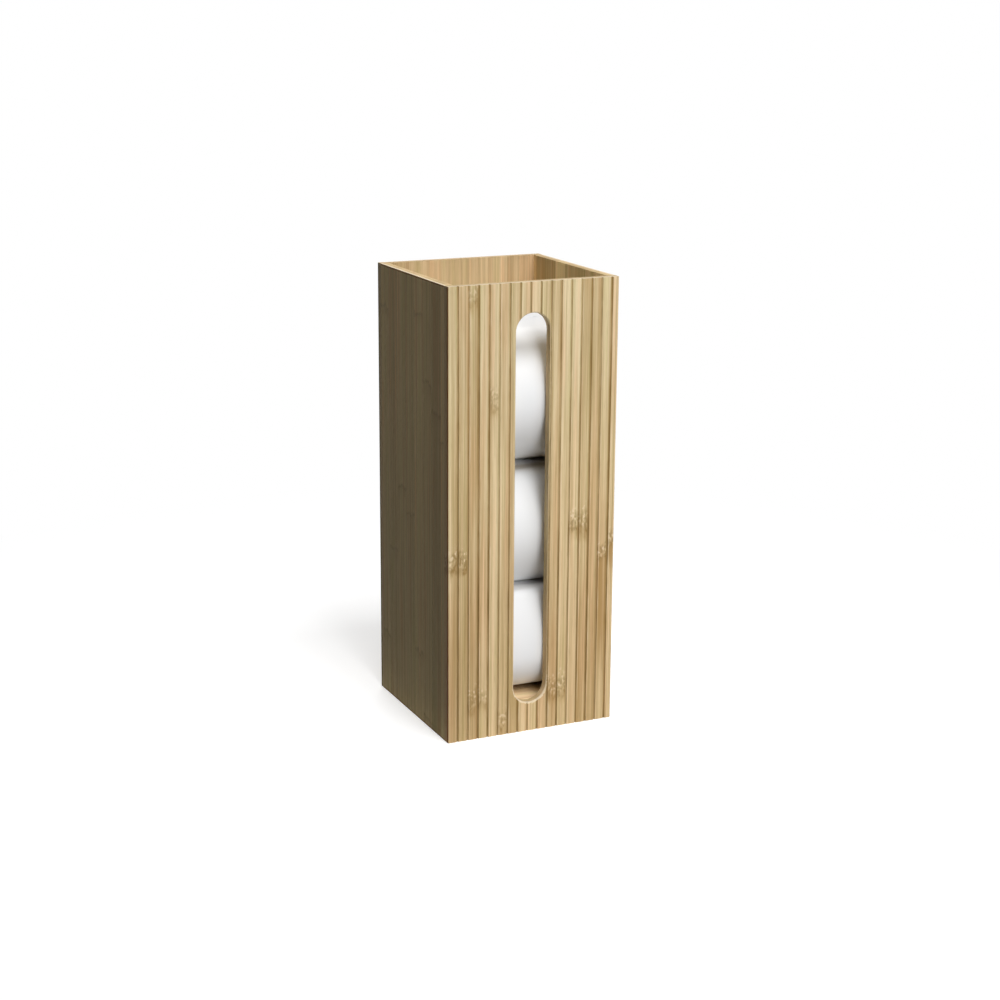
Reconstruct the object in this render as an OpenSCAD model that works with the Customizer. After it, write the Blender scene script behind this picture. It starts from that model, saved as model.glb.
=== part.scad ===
// Upright toilet roll holder: an open-topped box of bamboo boards with a fluted front
// and one tall slot, holding three soft paper rolls that lie on their sides in a stack.
// The front faces -Y, the box stands on Z = 0 and is centred on the Z axis. Millimetres.

/* [Box] */
// Outside width of the box, across the fluted front
box_w = 151.2; // [130:0.1:200]
// Outside depth of the box, from the fluted front to the back
box_d = 151.2; // [130:0.1:200]
// Height of the four walls
box_h = 380; // [350:1:600]
// Thickness of the wall boards
board_t = 7.6; // [7:0.1:12]
// Rounding of the four upright outer corners
corner_r = 1; // [0.3:0.1:3]

/* [Fluted front] */
// Number of grooves down the front board
flute_count = 16; // [4:1:24]
// Width of one groove at the face of the board
flute_w = 1.8; // [1:0.1:3]
// Depth of one groove
flute_depth = 0.9; // [0.4:0.05:1.5]
// Plain margin from the board's left edge to the first groove
flute_margin_left = 8.5; // [5:0.1:15]
// Plain margin from the last groove to the board's right edge
flute_margin_right = 6.4; // [5:0.1:15]

/* [Slot] */
// Width of the tall slot, whose ends are half circles
slot_w = 30.4; // [20:0.1:60]
// Height of board left between the slot and the rim
slot_head = 25; // [15:0.5:80]
// Height of board left between the floor and the slot
slot_foot = 25; // [20:0.5:60]
// Distance of the slot's centre line to the right of the board's centre
slot_shift = -1; // [-10:0.5:10]
// Width of the bevel round the slot's front edge
slot_bevel = 0.9; // [0.3:0.1:2]

/* [Base board] */
// Height of the slot's lowest point above the base board
base_drop = 0.5; // [0:0.1:8]
// Thickness of the base board
base_t = 7.6; // [5:0.1:10]
// Depth of the groove that each wall has for the base board
groove_depth = 3; // [2:0.1:4]
// Gap between the base board's edge and the bottom of its groove
groove_clear = 0.2; // [0.1:0.05:0.5]

/* [Corner dowels] */
// Number of dowels in each upright corner joint
dowel_count = 4; // [2:1:8]
// Diameter of a dowel
dowel_d = 4; // [3:0.5:5]
// Depth of a dowel's hole in the front or back board
dowel_face_depth = 5; // [4:0.1:5.5]
// Depth of a dowel's hole in the edge of a side board
dowel_edge_depth = 15; // [10:0.5:30]
// Height of the lowest dowel above the base board, and of the highest below the rim
dowel_margin = 30; // [10:1:60]
// Bevel at each end of a dowel
dowel_bevel = 0.5; // [0.2:0.1:1]
// Clearance round a dowel, and at each of its ends
dowel_clear = 0.05; // [0.02:0.01:0.1]

/* [Paper rolls] */
// Free play, front to back, of the roll that is pressed widest
roll_play_d = 4; // [2:0.1:20]
// Width of the paper, which is the length of a roll on its side
roll_w = 100; // [90:0.5:110]
// Distance of the bottom roll behind the front board
bottom_setback = 0.5; // [0.3:0.1:1]
// Distance of the middle roll behind the front board
middle_setback = 6.6; // [0.3:0.1:10]
// Distance of the top roll behind the front board
top_setback = 1.6; // [0.3:0.1:10]
// Gap that keeps each roll just clear of what it lies on
roll_gap = 0.3; // [0.2:0.05:0.6]

/* [Roll cores] */
// Outer diameter of the cardboard tube that the paper is wound on
core_d = 42; // [38:0.5:48]
// Wall thickness of the tube
core_t = 1.2; // [0.8:0.1:2]
// Distance of each end of the tube inside the end of the roll
core_inset = 0.5; // [0.2:0.1:3]
// Gap between the tube and the first turn of paper
core_clear = 0.05; // [0.02:0.01:0.1]

/* [Hidden] */
$fn = 96;

// Overrun of every cut past the face that it opens
over = 1;

// Inside of the box
inner_w = box_w - 2 * board_t;
inner_d = box_d - 2 * board_t;
base_top = slot_foot - base_drop;
base_lift = base_top - base_t;

// Grooves of the front: a circle of flute_r, sunk flute_depth into the face
flute_pitch = (box_w - flute_margin_left - flute_margin_right) / (flute_count - 1);
flute_r = (flute_w * flute_w / 4 + flute_depth * flute_depth) / (2 * flute_depth);

// Centres of the slot's two half-round ends
slot_r = slot_w / 2;
slot_low = slot_foot + slot_r;
slot_high = box_h - slot_head - slot_r;

// Heights of the dowels, shared out between the base board and the rim
dowel_low = base_top + dowel_margin;
dowel_step = (box_h - dowel_margin - dowel_low) / (dowel_count - 1);
dowel_l = dowel_face_depth + dowel_edge_depth - 2 * dowel_clear;

// How the weight above presses each roll, from the bottom one up, as shares of its free
// diameter: its height, its depth, the radius of its front and back, and those of the soft
// edges where these turn into its flat top and into its flat foot
press_shares = [
    [0.755, 1.087, 0.75, 0.08, 0.34],
    [0.845, 0.98, 0.49, 0.155, 0.155],
    [1, 1, 0.505, 0.25, 0.25],
];
// Diameter of a roll that nothing presses on, as the top one
roll_d = (inner_d - roll_play_d) / max([for (share = press_shares) share[1]]);
// Place of each roll to the side, as a share of its free play
side_shares = [-0.1, 0.15, -0.05];

roll_setbacks = [bottom_setback, middle_setback, top_setback];
roll_heights = [for (share = press_shares) share[0] * roll_d];
roll_depths = [for (share = press_shares) share[1] * roll_d];
roll_face_radii = [for (share = press_shares) share[2] * roll_d];
roll_top_radii = [for (share = press_shares) share[3] * roll_d];
roll_foot_radii = [for (share = press_shares) share[4] * roll_d];
roll_play_w = (inner_w - roll_w) / 2;
// Turn of a roll's outline, in degrees, from one of its facets to the next
facet_turn = 3;
roll_feet = [
    base_top + roll_gap,
    base_top + 2 * roll_gap + roll_heights[0],
    base_top + 3 * roll_gap + roll_heights[0] + roll_heights[1],
];

bamboo = [0.80, 0.69, 0.52];
bamboo_shade = [0.72, 0.60, 0.42];
dowel_wood = [0.85, 0.76, 0.60];
paper = [0.96, 0.96, 0.95];
cardboard = [0.66, 0.54, 0.40];

// Plan of a wall board whose outer face lies on Y = 0, with its two outer corners rounded
module rounded_board_plan() {
    translate([-box_w / 2, corner_r]) square([box_w, board_t - corner_r]);
    translate([corner_r - box_w / 2, 0]) square([box_w - 2 * corner_r, board_t]);
    for (side = [-1, 1]) translate([side * (box_w / 2 - corner_r), corner_r]) circle(corner_r);
}

module flutes_plan() {
    for (i = [0 : flute_count - 1])
        translate([flute_margin_left - box_w / 2 + i * flute_pitch, flute_depth - flute_r])
            circle(flute_r);
}

// A tall slot with half-round ends, cut along +Y and tapering from r_front to r_back
module slot_cut(r_front, r_back, depth) {
    for (z = [slot_low, slot_high])
        translate([slot_shift, 0, z]) rotate([-90, 0, 0]) cylinder(r1 = r_front, r2 = r_back, h = depth);
    translate([slot_shift, 0, slot_low]) linear_extrude(slot_high - slot_low)
        polygon([[-r_front, 0], [r_front, 0], [r_back, depth], [-r_back, depth]]);
}

// The board that fills all four grooves, drawn larger by grow on every edge
module base_board(grow) {
    reach = groove_depth - groove_clear + grow;
    translate([-inner_w / 2 - reach, -inner_d / 2 - reach, base_lift])
        cube([inner_w + 2 * reach, inner_d + 2 * reach, base_t]);
}

// Places its child on each dowel's axis at the front left corner, on the joint's plane,
// with the child's +Z pointing into the side board
module at_dowels() {
    for (i = [0 : dowel_count - 1])
        translate([board_t / 2 - box_w / 2, board_t - box_d / 2, dowel_low + i * dowel_step])
            rotate([-90, 0, 0]) children();
}

module dowel_hole() {
    translate([0, 0, -dowel_face_depth])
        cylinder(d = dowel_d + 2 * dowel_clear, h = dowel_face_depth + dowel_edge_depth);
}

module dowel() {
    translate([0, 0, dowel_clear - dowel_face_depth]) {
        cylinder(d1 = dowel_d - 2 * dowel_bevel, d2 = dowel_d, h = dowel_bevel);
        translate([0, 0, dowel_bevel]) cylinder(d = dowel_d, h = dowel_l - 2 * dowel_bevel);
        translate([0, 0, dowel_l - dowel_bevel])
            cylinder(d1 = dowel_d, d2 = dowel_d - 2 * dowel_bevel, h = dowel_bevel);
    }
}

// Repeats its child at the corner on the given side of X and of Y
module at_corner(x_side, y_side) {
    mirror([x_side > 0 ? 1 : 0, 0, 0]) mirror([0, y_side > 0 ? 1 : 0, 0]) children();
}

module corner_holes() {
    for (x_side = [-1, 1], y_side = [-1, 1]) at_corner(x_side, y_side) at_dowels() dowel_hole();
}

module front_panel() {
    color(bamboo) difference() {
        translate([0, -box_d / 2, 0]) {
            difference() {
                linear_extrude(box_h) difference() {
                    rounded_board_plan();
                    flutes_plan();
                }
                translate([0, -over, 0]) slot_cut(slot_r, slot_r, board_t + 2 * over);
                translate([0, -over, 0])
                    slot_cut(slot_r + slot_bevel + over, slot_r, slot_bevel + over);
            }
        }
        base_board(groove_clear);
        corner_holes();
    }
}

module back_panel() {
    color(bamboo_shade) difference() {
        rotate([0, 0, 180]) translate([0, -box_d / 2, 0])
            linear_extrude(box_h) rounded_board_plan();
        base_board(groove_clear);
        corner_holes();
    }
}

module side_panel() {
    difference() {
        translate([-box_w / 2, -inner_d / 2, 0]) cube([board_t, inner_d, box_h]);
        translate([-inner_w / 2 - groove_depth, -inner_d / 2 - over, base_lift])
            cube([groove_depth + over, inner_d + 2 * over, base_t]);
        for (y_side = [-1, 1]) at_corner(-1, y_side) at_dowels() dowel_hole();
    }
}

module left_panel() {
    color(bamboo_shade) side_panel();
}

module right_panel() {
    color(bamboo_shade) mirror([1, 0, 0]) side_panel();
}

module base_panel() {
    color(bamboo) base_board(0);
}

module corner_dowels(x_side, y_side) {
    color(dowel_wood) at_corner(x_side, y_side) at_dowels() dowel();
}

// Puts a roll's centre, with its axis along X, in its place in the stack
module at_roll(level) {
    translate([
        side_shares[level] * roll_play_w,
        roll_setbacks[level] + roll_depths[level] / 2 - inner_d / 2,
        roll_feet[level] + roll_heights[level] / 2,
    ]) children();
}

// Points along an arc about centre, from one angle up to the other, which is left out
function arc_points(centre, r, from, to) =
    let (steps = ceil((to - from) / facet_turn))
    [for (i = [0 : steps - 1]) let (turn = from + (to - from) * i / steps)
        centre + r * [cos(turn), sin(turn)]];

// Quarter of a pressed roll's outline, depth along X and height along Y: from the middle of its
// front, an arc of face_r, round a soft edge of edge_r to where its flat top begins
function quarter_points(depth, height, face_r, edge_r) =
    let (
        face_x = depth / 2 - face_r,
        edge_y = height / 2 - edge_r,
        join_angle = asin(edge_y / (face_r - edge_r)),
        edge_x = face_x + (face_r - edge_r) * cos(join_angle)
    )
    concat(
        arc_points([face_x, 0], face_r, 0, join_angle),
        arc_points([edge_x, edge_y], edge_r, join_angle, 90),
        [[edge_x, height / 2]]
    );

module pressed_plan(depth, height, face_r, top_r, foot_r) {
    top = quarter_points(depth, height, face_r, top_r);
    foot = quarter_points(depth, height, face_r, foot_r);
    polygon(concat(
        top,
        [for (i = [len(top) - 1 : -1 : 0]) [-top[i].x, top[i].y]],
        [for (i = [1 : len(foot) - 1]) -foot[i]],
        [for (i = [len(foot) - 1 : -1 : 1]) [foot[i].x, -foot[i].y]]
    ));
}

module paper_roll(level) {
    color(paper) at_roll(level) rotate([90, 0, 90]) linear_extrude(roll_w, center = true)
        difference() {
            pressed_plan(
                roll_depths[level], roll_heights[level], roll_face_radii[level],
                roll_top_radii[level], roll_foot_radii[level]
            );
            circle(d = core_d + 2 * core_clear);
        }
}

module core_tube(level) {
    core_w = roll_w - 2 * core_inset;
    color(cardboard) at_roll(level) rotate([0, 90, 0]) difference() {
        cylinder(d = core_d, h = core_w, center = true);
        cylinder(d = core_d - 2 * core_t, h = core_w + 2 * over, center = true);
    }
}

front_panel();
back_panel();
left_panel();
right_panel();
base_panel();
corner_dowels(-1, -1);  // front_left_dowels
corner_dowels(1, -1);  // front_right_dowels
corner_dowels(-1, 1);  // back_left_dowels
corner_dowels(1, 1);  // back_right_dowels
paper_roll(0);  // bottom_roll
core_tube(0);  // bottom_core
paper_roll(1);  // middle_roll
core_tube(1);  // middle_core
paper_roll(2);  // top_roll
core_tube(2);  // top_core
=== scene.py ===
import math

import bpy
from mathutils import Matrix, Vector, noise


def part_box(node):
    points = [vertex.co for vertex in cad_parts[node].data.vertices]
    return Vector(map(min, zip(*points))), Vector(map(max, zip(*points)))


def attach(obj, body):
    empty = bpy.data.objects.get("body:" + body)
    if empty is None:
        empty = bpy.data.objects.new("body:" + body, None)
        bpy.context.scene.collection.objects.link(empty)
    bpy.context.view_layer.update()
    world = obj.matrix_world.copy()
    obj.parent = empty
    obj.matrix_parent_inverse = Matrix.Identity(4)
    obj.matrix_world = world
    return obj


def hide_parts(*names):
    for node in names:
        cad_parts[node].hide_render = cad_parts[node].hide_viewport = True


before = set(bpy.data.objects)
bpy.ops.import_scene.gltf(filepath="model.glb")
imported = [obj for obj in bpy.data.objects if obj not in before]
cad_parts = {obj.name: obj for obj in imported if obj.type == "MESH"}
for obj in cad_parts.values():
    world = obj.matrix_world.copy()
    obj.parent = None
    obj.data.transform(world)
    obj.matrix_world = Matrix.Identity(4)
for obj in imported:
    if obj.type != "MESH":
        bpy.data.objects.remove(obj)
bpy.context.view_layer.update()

# Base board: a square of flat-laid bamboo strips, glued side by side and sanded. It slides
# into a groove in each of the four walls, and the rolls stand on it. Its grain runs across
# the box, and painted shade darkens it under the bottom roll. All the boards are cut from such strips.
BASE_STRIP_W = 0.0185
BASE_LIGHT = (0.970, 0.750, 0.470, 1)
BASE_DARK = (0.900, 0.665, 0.400, 1)
BASE_CONTACT_SHADE = (0.20, 0.14, 0.08, 1)
CONTACT_SHADE_REACH = 0.011
CONTACT_SHADE_FULL = 0.06
CONTACT_SHADE_CLEAR = 0.28
ARRIS_R = 0.00035
SHARP_TURN = 40
LACQUER_ROUGHNESS = 0.5
LACQUER_GLOSS = 0.06
GRAIN_BUMP = 0.35
GRAIN_DEPTH = 0.0002


def add(tree, kind, inputs=None, **settings):
    """A shader node with its settings made and its sockets set or linked."""
    made = tree.nodes.new(kind)
    for name, value in settings.items():
        setattr(made, name, value)
    for socket, value in (inputs or {}).items():
        if isinstance(value, bpy.types.NodeSocket):
            tree.links.new(value, made.inputs[socket])
        else:
            made.inputs[socket].default_value = value
    return made


def calc(tree, operation, *values, clamp=False):
    """The result of a Math node."""
    inputs = dict(enumerate(values))
    return add(tree, "ShaderNodeMath", inputs, operation=operation, use_clamp=clamp).outputs[0]


def span(tree, value, low, high, to_low=0.0, to_high=1.0):
    """Maps low..high to to_low..to_high with soft ends, and clamps it."""
    inputs = {"Value": value, "From Min": low, "From Max": high, "To Min": to_low, "To Max": to_high}
    mapped = add(tree, "ShaderNodeMapRange", inputs, interpolation_type="SMOOTHSTEP")
    return mapped.outputs["Result"]


def tint(tree, share, under, over, way="MIX"):
    """Mixes colour over into colour under by share."""
    inputs = {0: share, 6: under, 7: over}
    return add(tree, "ShaderNodeMix", inputs, data_type="RGBA", blend_type=way).outputs[2]


def stretched(tree, place, across, along, detail=2.0):
    """Noise with that many features a metre across the grain and along it."""
    scale = add(tree, "ShaderNodeVectorMath", {0: place, 1: (across, across, along)}, operation="MULTIPLY")
    inputs = {"Vector": scale.outputs[0], "Scale": 1.0, "Detail": detail, "Roughness": 0.55}
    return add(tree, "ShaderNodeTexNoise", inputs).outputs[0]


def new_effect(name, inputs, outputs):
    """An empty node group with named sockets, as (group, its inputs, its outputs)."""
    group = bpy.data.node_groups.new(name, "ShaderNodeTree")
    for title, kind in inputs.items():
        group.interface.new_socket(title, in_out="INPUT", socket_type="NodeSocket" + kind)
    for title, kind in outputs.items():
        group.interface.new_socket(title, in_out="OUTPUT", socket_type="NodeSocket" + kind)
    return group, group.nodes.new("NodeGroupInput").outputs, group.nodes.new("NodeGroupOutput").inputs


def use_effect(tree, group, inputs):
    """Places a node group in a material and returns its outputs."""
    return add(tree, "ShaderNodeGroup", inputs, node_tree=group).outputs


# Glued strips of bamboo: each strip has a tone of its own, and in it run fine fibres, darker
# bundles and veins, and now and then the ring where a leaf grew. Place is in metres: X across
# the strips, Y through the board and Z along the grain.
strips, strips_in, strips_out = new_effect(
    "glued bamboo strips",
    {
        "Place": "Vector", "Strip Width": "Float", "Seed": "Float", "Light": "Color", "Dark": "Color",
        "Strip Tone": "Float", "Grain": "Float", "Ring Strength": "Float", "End Grain": "Float",
    },
    {"Color": "Color", "Relief": "Float"},
)
# Features a metre across the grain and along it, and the detail in them where it isn't 2.
FIBRES = (1500, 20)
STREAKS = (330, 3.0)
CLOUDS = (60, 7)
BUNDLES = (2700, 80)
VEINS = (640, 1.6)
HUES = (150, 7.0, 1.0)
RING_WAVES = (130, 45)
RING_GAPS = (900, 300)
# How strongly each of them shows.
STREAK_TONE = 1.70
CLOUD_TONE = 0.70
FIBRE_TONE = 1.10
BUNDLE_SHARE = 0.20
VEIN_SHARE = 0.42
GLUE_LINE_SHARE = 0.30
RING_FOOT_SHARE = 0.35
END_PALE_SHARE = 0.45
END_DOT_SHARE = 0.55
# How far they are moved from strip to strip, how wide and high they are, and their colours.
STRIP_SHIFT = 3.7
HUE_SHIFT = (0.7, 0.3, 5.1)
GLUE_LINE_W = 0.00028
RING_SPACING = 0.29
RING_H = 0.0026
RING_WAVE_H = 0.014
RING_FOOT_H = 0.016
END_DOTS = (1250, 1250, 60)
RING_BROWN = (0.20, 0.105, 0.040, 1)
VEIN_BROWN = (0.40, 0.25, 0.10, 1)
END_DOT_BROWN = (0.33, 0.20, 0.09, 1)
END_PALE = (0.70, 0.50, 0.28, 1)
PINKISH = (1.0, 0.925, 0.90, 1)
GREENISH = (0.95, 0.985, 0.92, 1)
axes = add(strips, "ShaderNodeSeparateXYZ", {0: strips_in["Place"]}).outputs
strip_number = calc(strips, "DIVIDE", axes[0], strips_in["Strip Width"])
strip_number = calc(strips, "ADD", strip_number, strips_in["Seed"])
strip_index = calc(strips, "FLOOR", strip_number)
strip_noise = add(strips, "ShaderNodeTexWhiteNoise", {"W": strip_index}, noise_dimensions="1D")
strip_tone = strip_noise.outputs["Value"]
run = calc(strips, "MULTIPLY_ADD", strip_tone, STRIP_SHIFT, axes[2])
fibre_place = add(strips, "ShaderNodeCombineXYZ", {0: axes[0], 1: axes[1], 2: run}).outputs[0]
fibres = stretched(strips, fibre_place, *FIBRES)
streaks = stretched(strips, fibre_place, *STREAKS)
clouds = stretched(strips, fibre_place, *CLOUDS)
bundles = span(strips, stretched(strips, fibre_place, *BUNDLES), 0.56, 0.74)
veins = span(strips, stretched(strips, fibre_place, *VEINS), 0.60, 0.68)
tone = calc(strips, "SUBTRACT", strip_tone, 0.5)
tone = calc(strips, "MULTIPLY_ADD", tone, strips_in["Strip Tone"], 0.5)
for layer, strength in ((streaks, STREAK_TONE), (clouds, CLOUD_TONE), (fibres, FIBRE_TONE)):
    share = calc(strips, "MULTIPLY", strips_in["Grain"], strength)
    tone = calc(strips, "MULTIPLY_ADD", calc(strips, "SUBTRACT", layer, 0.5), share, tone)
tone = calc(strips, "ADD", tone, 0.0, clamp=True)
wood = tint(strips, tone, strips_in["Dark"], strips_in["Light"])
hue_place = add(strips, "ShaderNodeVectorMath", {0: fibre_place, 1: HUE_SHIFT}).outputs[0]
hue = stretched(strips, hue_place, *HUES)
wood = tint(strips, span(strips, hue, 0.50, 0.70), wood, PINKISH, "MULTIPLY")
wood = tint(strips, span(strips, hue, 0.50, 0.30), wood, GREENISH, "MULTIPLY")
wood = tint(strips, calc(strips, "MULTIPLY", bundles, BUNDLE_SHARE), wood, RING_BROWN)
wood = tint(strips, calc(strips, "MULTIPLY", veins, VEIN_SHARE), wood, VEIN_BROWN)

edge_near = calc(strips, "PINGPONG", strip_number, 0.5)
edge_distance = calc(strips, "MULTIPLY", edge_near, strips_in["Strip Width"])
glue_line = span(strips, edge_distance, 0.0, GLUE_LINE_W, 1.0, 0.0)
wood = tint(strips, calc(strips, "MULTIPLY", glue_line, GLUE_LINE_SHARE), wood, RING_BROWN)

# A leaf ring is a wavy line with gaps, above a soft foot. It stands at another height in each strip.
ring_wave = calc(strips, "SUBTRACT", stretched(strips, fibre_place, *RING_WAVES), 0.5)
ring_place = calc(strips, "MULTIPLY_ADD", ring_wave, RING_WAVE_H, run)
ring_place = calc(strips, "DIVIDE", ring_place, RING_SPACING)
ring_height = calc(strips, "MULTIPLY", calc(strips, "WRAP", ring_place, 0.5, -0.5), RING_SPACING)
ring_line = span(strips, calc(strips, "ABSOLUTE", ring_height), 0.0, RING_H, 1.0, 0.0)
ring_gaps = span(strips, stretched(strips, fibre_place, *RING_GAPS), 0.40, 0.60, 0.2, 1.0)
ring_line = calc(strips, "MULTIPLY", ring_line, ring_gaps)
ring_foot = span(strips, ring_height, -RING_FOOT_H, -0.002)
ring_top = span(strips, ring_height, 0.003, -0.002, 0.0, RING_FOOT_SHARE)
ring = calc(strips, "MULTIPLY_ADD", ring_foot, ring_top, ring_line)
ring = calc(strips, "MULTIPLY", ring, strips_in["Ring Strength"], clamp=True)
wood = tint(strips, ring, wood, RING_BROWN)

end_place = add(
    strips, "ShaderNodeVectorMath", {0: strips_in["Place"], 1: END_DOTS}, operation="MULTIPLY",
).outputs[0]
end_cells = add(strips, "ShaderNodeTexVoronoi", {"Vector": end_place, "Scale": 1.0}).outputs[0]
end_dots = span(strips, end_cells, 0.12, 0.42, END_DOT_SHARE, 0.0)
end_wood = tint(strips, end_dots, tint(strips, END_PALE_SHARE, wood, END_PALE), END_DOT_BROWN)
wood = tint(strips, strips_in["End Grain"], wood, end_wood)
strips.links.new(wood, strips_out["Color"])
relief = calc(strips, "MULTIPLY", fibres, 0.6)
relief = calc(strips, "SUBTRACT", relief, calc(strips, "MULTIPLY", glue_line, 0.5))
relief = calc(strips, "SUBTRACT", relief, calc(strips, "MULTIPLY", ring, 0.6))
strips.links.new(relief, strips_out["Relief"])


def board_place(tree, across, through, along):
    """The point on a board as strips across, through and along it, from the box's own X, Y and Z."""
    point = add(tree, "ShaderNodeTexCoord").outputs["Object"]
    parts = add(tree, "ShaderNodeSeparateXYZ", {0: point}).outputs
    order = {0: parts[across], 1: parts[through], 2: parts[along]}
    return add(tree, "ShaderNodeCombineXYZ", order).outputs[0]


def facing(tree, axis):
    """1 where the surface faces up or down that axis, as a sawn end does, and 0 elsewhere."""
    normal = add(tree, "ShaderNodeNewGeometry").outputs["Normal"]
    part = add(tree, "ShaderNodeSeparateXYZ", {0: normal}).outputs[axis]
    return span(tree, calc(tree, "ABSOLUTE", part), 0.6, 0.8)


def new_material(name):
    """A new material and its node tree."""
    material = bpy.data.materials.new(name)
    material.use_nodes = True
    return material, material.node_tree


def finish_wood(tree, colour, relief, roughness, depth):
    """Gives the material its colour, its gloss and the relief of its grain."""
    shader = tree.nodes["Principled BSDF"]
    shader.inputs["Roughness"].default_value = roughness
    shader.inputs["Specular IOR Level"].default_value = LACQUER_GLOSS
    bump = add(tree, "ShaderNodeBump", {"Height": relief, "Strength": GRAIN_BUMP, "Distance": depth})
    tree.links.new(colour, shader.inputs["Base Color"])
    tree.links.new(bump.outputs["Normal"], shader.inputs["Normal"])


def bamboo_board(name, axes_order, end_axis, seed, light, dark, strip_w, strip_tone, grain, rings):
    """Material of a plain board whose strips lie along one of the box's axes."""
    material, tree = new_material(name)
    inputs = {
        "Place": board_place(tree, *axes_order), "Strip Width": strip_w, "Seed": seed, "Light": light,
        "Dark": dark, "Strip Tone": strip_tone, "Grain": grain, "Ring Strength": rings,
        "End Grain": facing(tree, end_axis),
    }
    made = use_effect(tree, strips, inputs)
    finish_wood(tree, made["Color"], made["Relief"], LACQUER_ROUGHNESS, GRAIN_DEPTH)
    return material


def give(node, material):
    """Gives the solid of a node its material, and returns the solid."""
    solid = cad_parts[node]
    if not solid.material_slots:
        solid.data.materials.append(material)
    solid.material_slots[0].link = "OBJECT"
    solid.material_slots[0].material = material
    return solid


def dress(node, material, arris_r):
    """Gives a board its material, and softens its edges as sanding does."""
    board = give(node, material)
    weld = board.modifiers.new("joined", "WELD")
    weld.merge_threshold = 1e-6
    arris = board.modifiers.new("sanded", "BEVEL")
    arris.width = arris_r
    arris.segments = 2
    arris.limit_method = "ANGLE"
    arris.angle_limit = math.radians(SHARP_TURN)
    arris.harden_normals = False


X, Y, Z = 0, 1, 2
base_bamboo = bamboo_board(
    "base bamboo", (Y, Z, X), X, seed=40.3, light=BASE_LIGHT, dark=BASE_DARK, strip_w=BASE_STRIP_W,
    strip_tone=0.5, grain=1.0, rings=0.4,
)
base_tree = base_bamboo.node_tree
base_socket = base_tree.nodes["Principled BSDF"].inputs["Base Color"]
base_wood = base_socket.links[0].from_socket
# Painted shade: the base is darkened where ambient occlusion finds the bottom roll close above it.
base_open = add(base_tree, "ShaderNodeAmbientOcclusion", {"Distance": CONTACT_SHADE_REACH}, samples=8).outputs["AO"]
base_contact_shade = span(base_tree, base_open, CONTACT_SHADE_FULL, CONTACT_SHADE_CLEAR, 1.0, 0.0)
base_tree.links.new(tint(base_tree, base_contact_shade, base_wood, BASE_CONTACT_SHADE, "MULTIPLY"), base_socket)
dress("base_panel", base_bamboo, ARRIS_R)


# Left and right walls: boards of upright strips that stand between the front and back boards,
# with the sawn ends of the strips as their rims. Each has a groove inside for the base.
WALL_STRIP_W = 0.0186
WALL_LIGHT = (0.980, 0.750, 0.405, 1)
WALL_DARK = (0.560, 0.412, 0.194, 1)
RIM_HIGHLIGHT = (0.88, 0.76, 0.58, 1)
RIM_HIGHLIGHT_W = 0.0026
RIM_HIGHLIGHT_SHARE = 0.75
RIM_SHADE = (0.82, 0.80, 0.73, 1)
# Painted shade: a dark line along the rim and foot of each wall's outside, and a darkening towards its
# foot.
SHADE_LINE_BROWN = (0.52, 0.38, 0.22, 1)
SHADE_LINE_H = 0.0018
WALL_FOOT_SHADE = (0.77, 0.77, 0.70, 1)
WALL_FOOT_TOP = 0.34
WALL_FOOT_FULL = 0.06
SURFACE_REACH = 0.001


def finish_rim(material, axis, outside):
    """Draws a wall's rim, with a painted highlight along its outer arris, and browner towards the inside.
    """
    tree = material.node_tree
    base = tree.nodes["Principled BSDF"].inputs["Base Color"]
    wood = base.links[0].from_socket
    point = add(tree, "ShaderNodeTexCoord").outputs["Object"]
    place = add(tree, "ShaderNodeSeparateXYZ", {0: point}).outputs[axis]
    inward = calc(tree, "ABSOLUTE", calc(tree, "SUBTRACT", place, outside))
    rim = facing(tree, Z)
    # Painted highlight: a pale line along the rim's outer arris.
    arris_highlight = span(tree, inward, RIM_HIGHLIGHT_W, RIM_HIGHLIGHT_W * 0.6, 0.0, RIM_HIGHLIGHT_SHARE)
    wood = tint(tree, rim, wood, RIM_SHADE, "MULTIPLY")
    wood = tint(tree, calc(tree, "MULTIPLY", rim, arris_highlight), wood, RIM_HIGHLIGHT)
    tree.links.new(wood, base)


def painted_wall_shade(material, outside_x, top_z):
    """Darkens the outside of a side wall as painted shade: in a line along its rim and foot, and softly
    towards the foot."""
    tree = material.node_tree
    base = tree.nodes["Principled BSDF"].inputs["Base Color"]
    wood = base.links[0].from_socket
    point = add(tree, "ShaderNodeTexCoord").outputs["Object"]
    parts = add(tree, "ShaderNodeSeparateXYZ", {0: point}).outputs
    inward = calc(tree, "ABSOLUTE", calc(tree, "SUBTRACT", parts[0], outside_x))
    outside = calc(tree, "MULTIPLY", facing(tree, X), calc(tree, "LESS_THAN", inward, SURFACE_REACH))
    to_end = calc(tree, "MINIMUM", calc(tree, "SUBTRACT", top_z, parts[2]), parts[2])
    line = calc(tree, "MULTIPLY", outside, span(tree, to_end, SHADE_LINE_H, SHADE_LINE_H * 0.5))
    wood = tint(tree, line, wood, SHADE_LINE_BROWN, "MULTIPLY")
    foot = calc(tree, "MULTIPLY", outside, span(tree, parts[2], WALL_FOOT_TOP, WALL_FOOT_FULL))
    tree.links.new(tint(tree, foot, wood, WALL_FOOT_SHADE, "MULTIPLY"), base)


for side, seed, outward in (("left_panel", 7.25, -1), ("right_panel", 61.6, 1)):
    wall = bamboo_board(
        side + " bamboo", (Y, X, Z), Z, seed, light=WALL_LIGHT, dark=WALL_DARK, strip_w=WALL_STRIP_W,
        strip_tone=0.95, grain=0.75, rings=0.3,
    )
    wall_low, wall_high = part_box(side)
    outside_x = wall_low.x if outward < 0 else wall_high.x
    finish_rim(wall, X, outside_x)
    painted_wall_shade(wall, outside_x, wall_high.z)
    dress(side, wall, ARRIS_R)
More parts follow.
